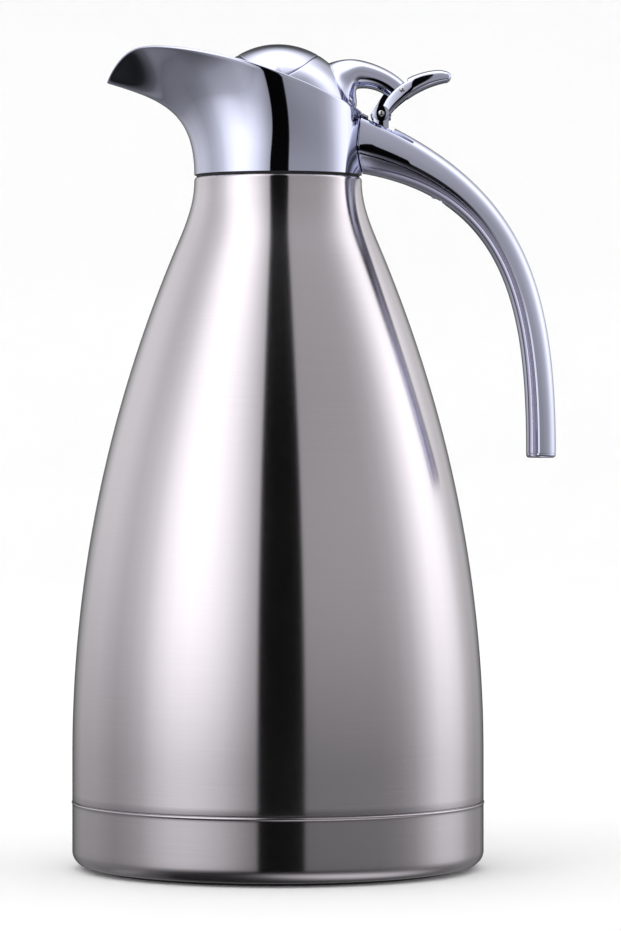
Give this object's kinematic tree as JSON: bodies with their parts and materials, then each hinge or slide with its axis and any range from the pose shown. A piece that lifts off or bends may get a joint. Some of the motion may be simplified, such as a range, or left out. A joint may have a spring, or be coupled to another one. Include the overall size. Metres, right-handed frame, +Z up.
{
  "type": "thermal carafe",
  "caption": "Vacuum carafe with brushed steel bell body, chrome duck-bill collar, open handle, and a sprung ball lid flipped by a thumb lever.",
  "frame": {"origin": "centre of the base pad's flat underside, on the body's axis", "axes": "+Z up along the body's axis, -X towards the spout, +X towards the handle, +Y to the side"},
  "size_m": [0.167, 0.1424, 0.2839],
  "materials": {
    "brushed_body": "fine brushing round the axis, satin",
    "liner_steel": "bright drawn steel",
    "chrome_plate": "mirror chrome plate",
    "screw_steel": "bright zinc plated",
    "black_plastic": "fine matte moulding",
    "black_rubber": "matte rubber",
    "white_silicone": "soft translucent silicone",
    "white_foam": "expanded foam",
    "getter_grey": "sintered metal",
    "seal_grey": "fused seal"
  },
  "bodies": {
    "carafe": {"outer_shell": "brushed_body", "inner_liner": "liner_steel", "vacuum_base": "liner_steel", "getter": "getter_grey", "vacuum_seal": "seal_grey", "base_cup": "brushed_body", "base_pad": "black_rubber", "neck_gasket": "black_rubber", "lock_ring": "black_plastic", "collar": "chrome_plate", "pour_insert": "black_plastic", "handle_outer": "chrome_plate", "handle_inner": "chrome_plate", "handle_core": "black_plastic", "handle_end_cap": "chrome_plate", "handle_screw": "screw_steel", "collar_screws": "screw_steel", "hinge_block": "chrome_plate", "hinge_screws": "screw_steel", "hinge_pin": "screw_steel", "lid_spring": "screw_steel"},
    "lid": {"lid_dome": "chrome_plate", "crown_cap": "chrome_plate", "lid_arch": "chrome_plate", "thumb_lever": "chrome_plate", "lever_rivet": "screw_steel", "stopper_body": "black_plastic", "stopper_foam": "white_foam", "stopper_gasket": "white_silicone", "stopper_screws": "screw_steel"}
  },
  "joints": [
    {"name": "lid_flip", "type": "hinge", "parent": "carafe", "child": "lid", "pos_m": [0.0355, 0, 0.2597], "axis": [0, 1, 0], "range_deg": [0, 55], "stiffness_Nm_per_rad": 0.12, "springref_deg": -45.84, "deforming": ["lid_spring"]}
  ]
}
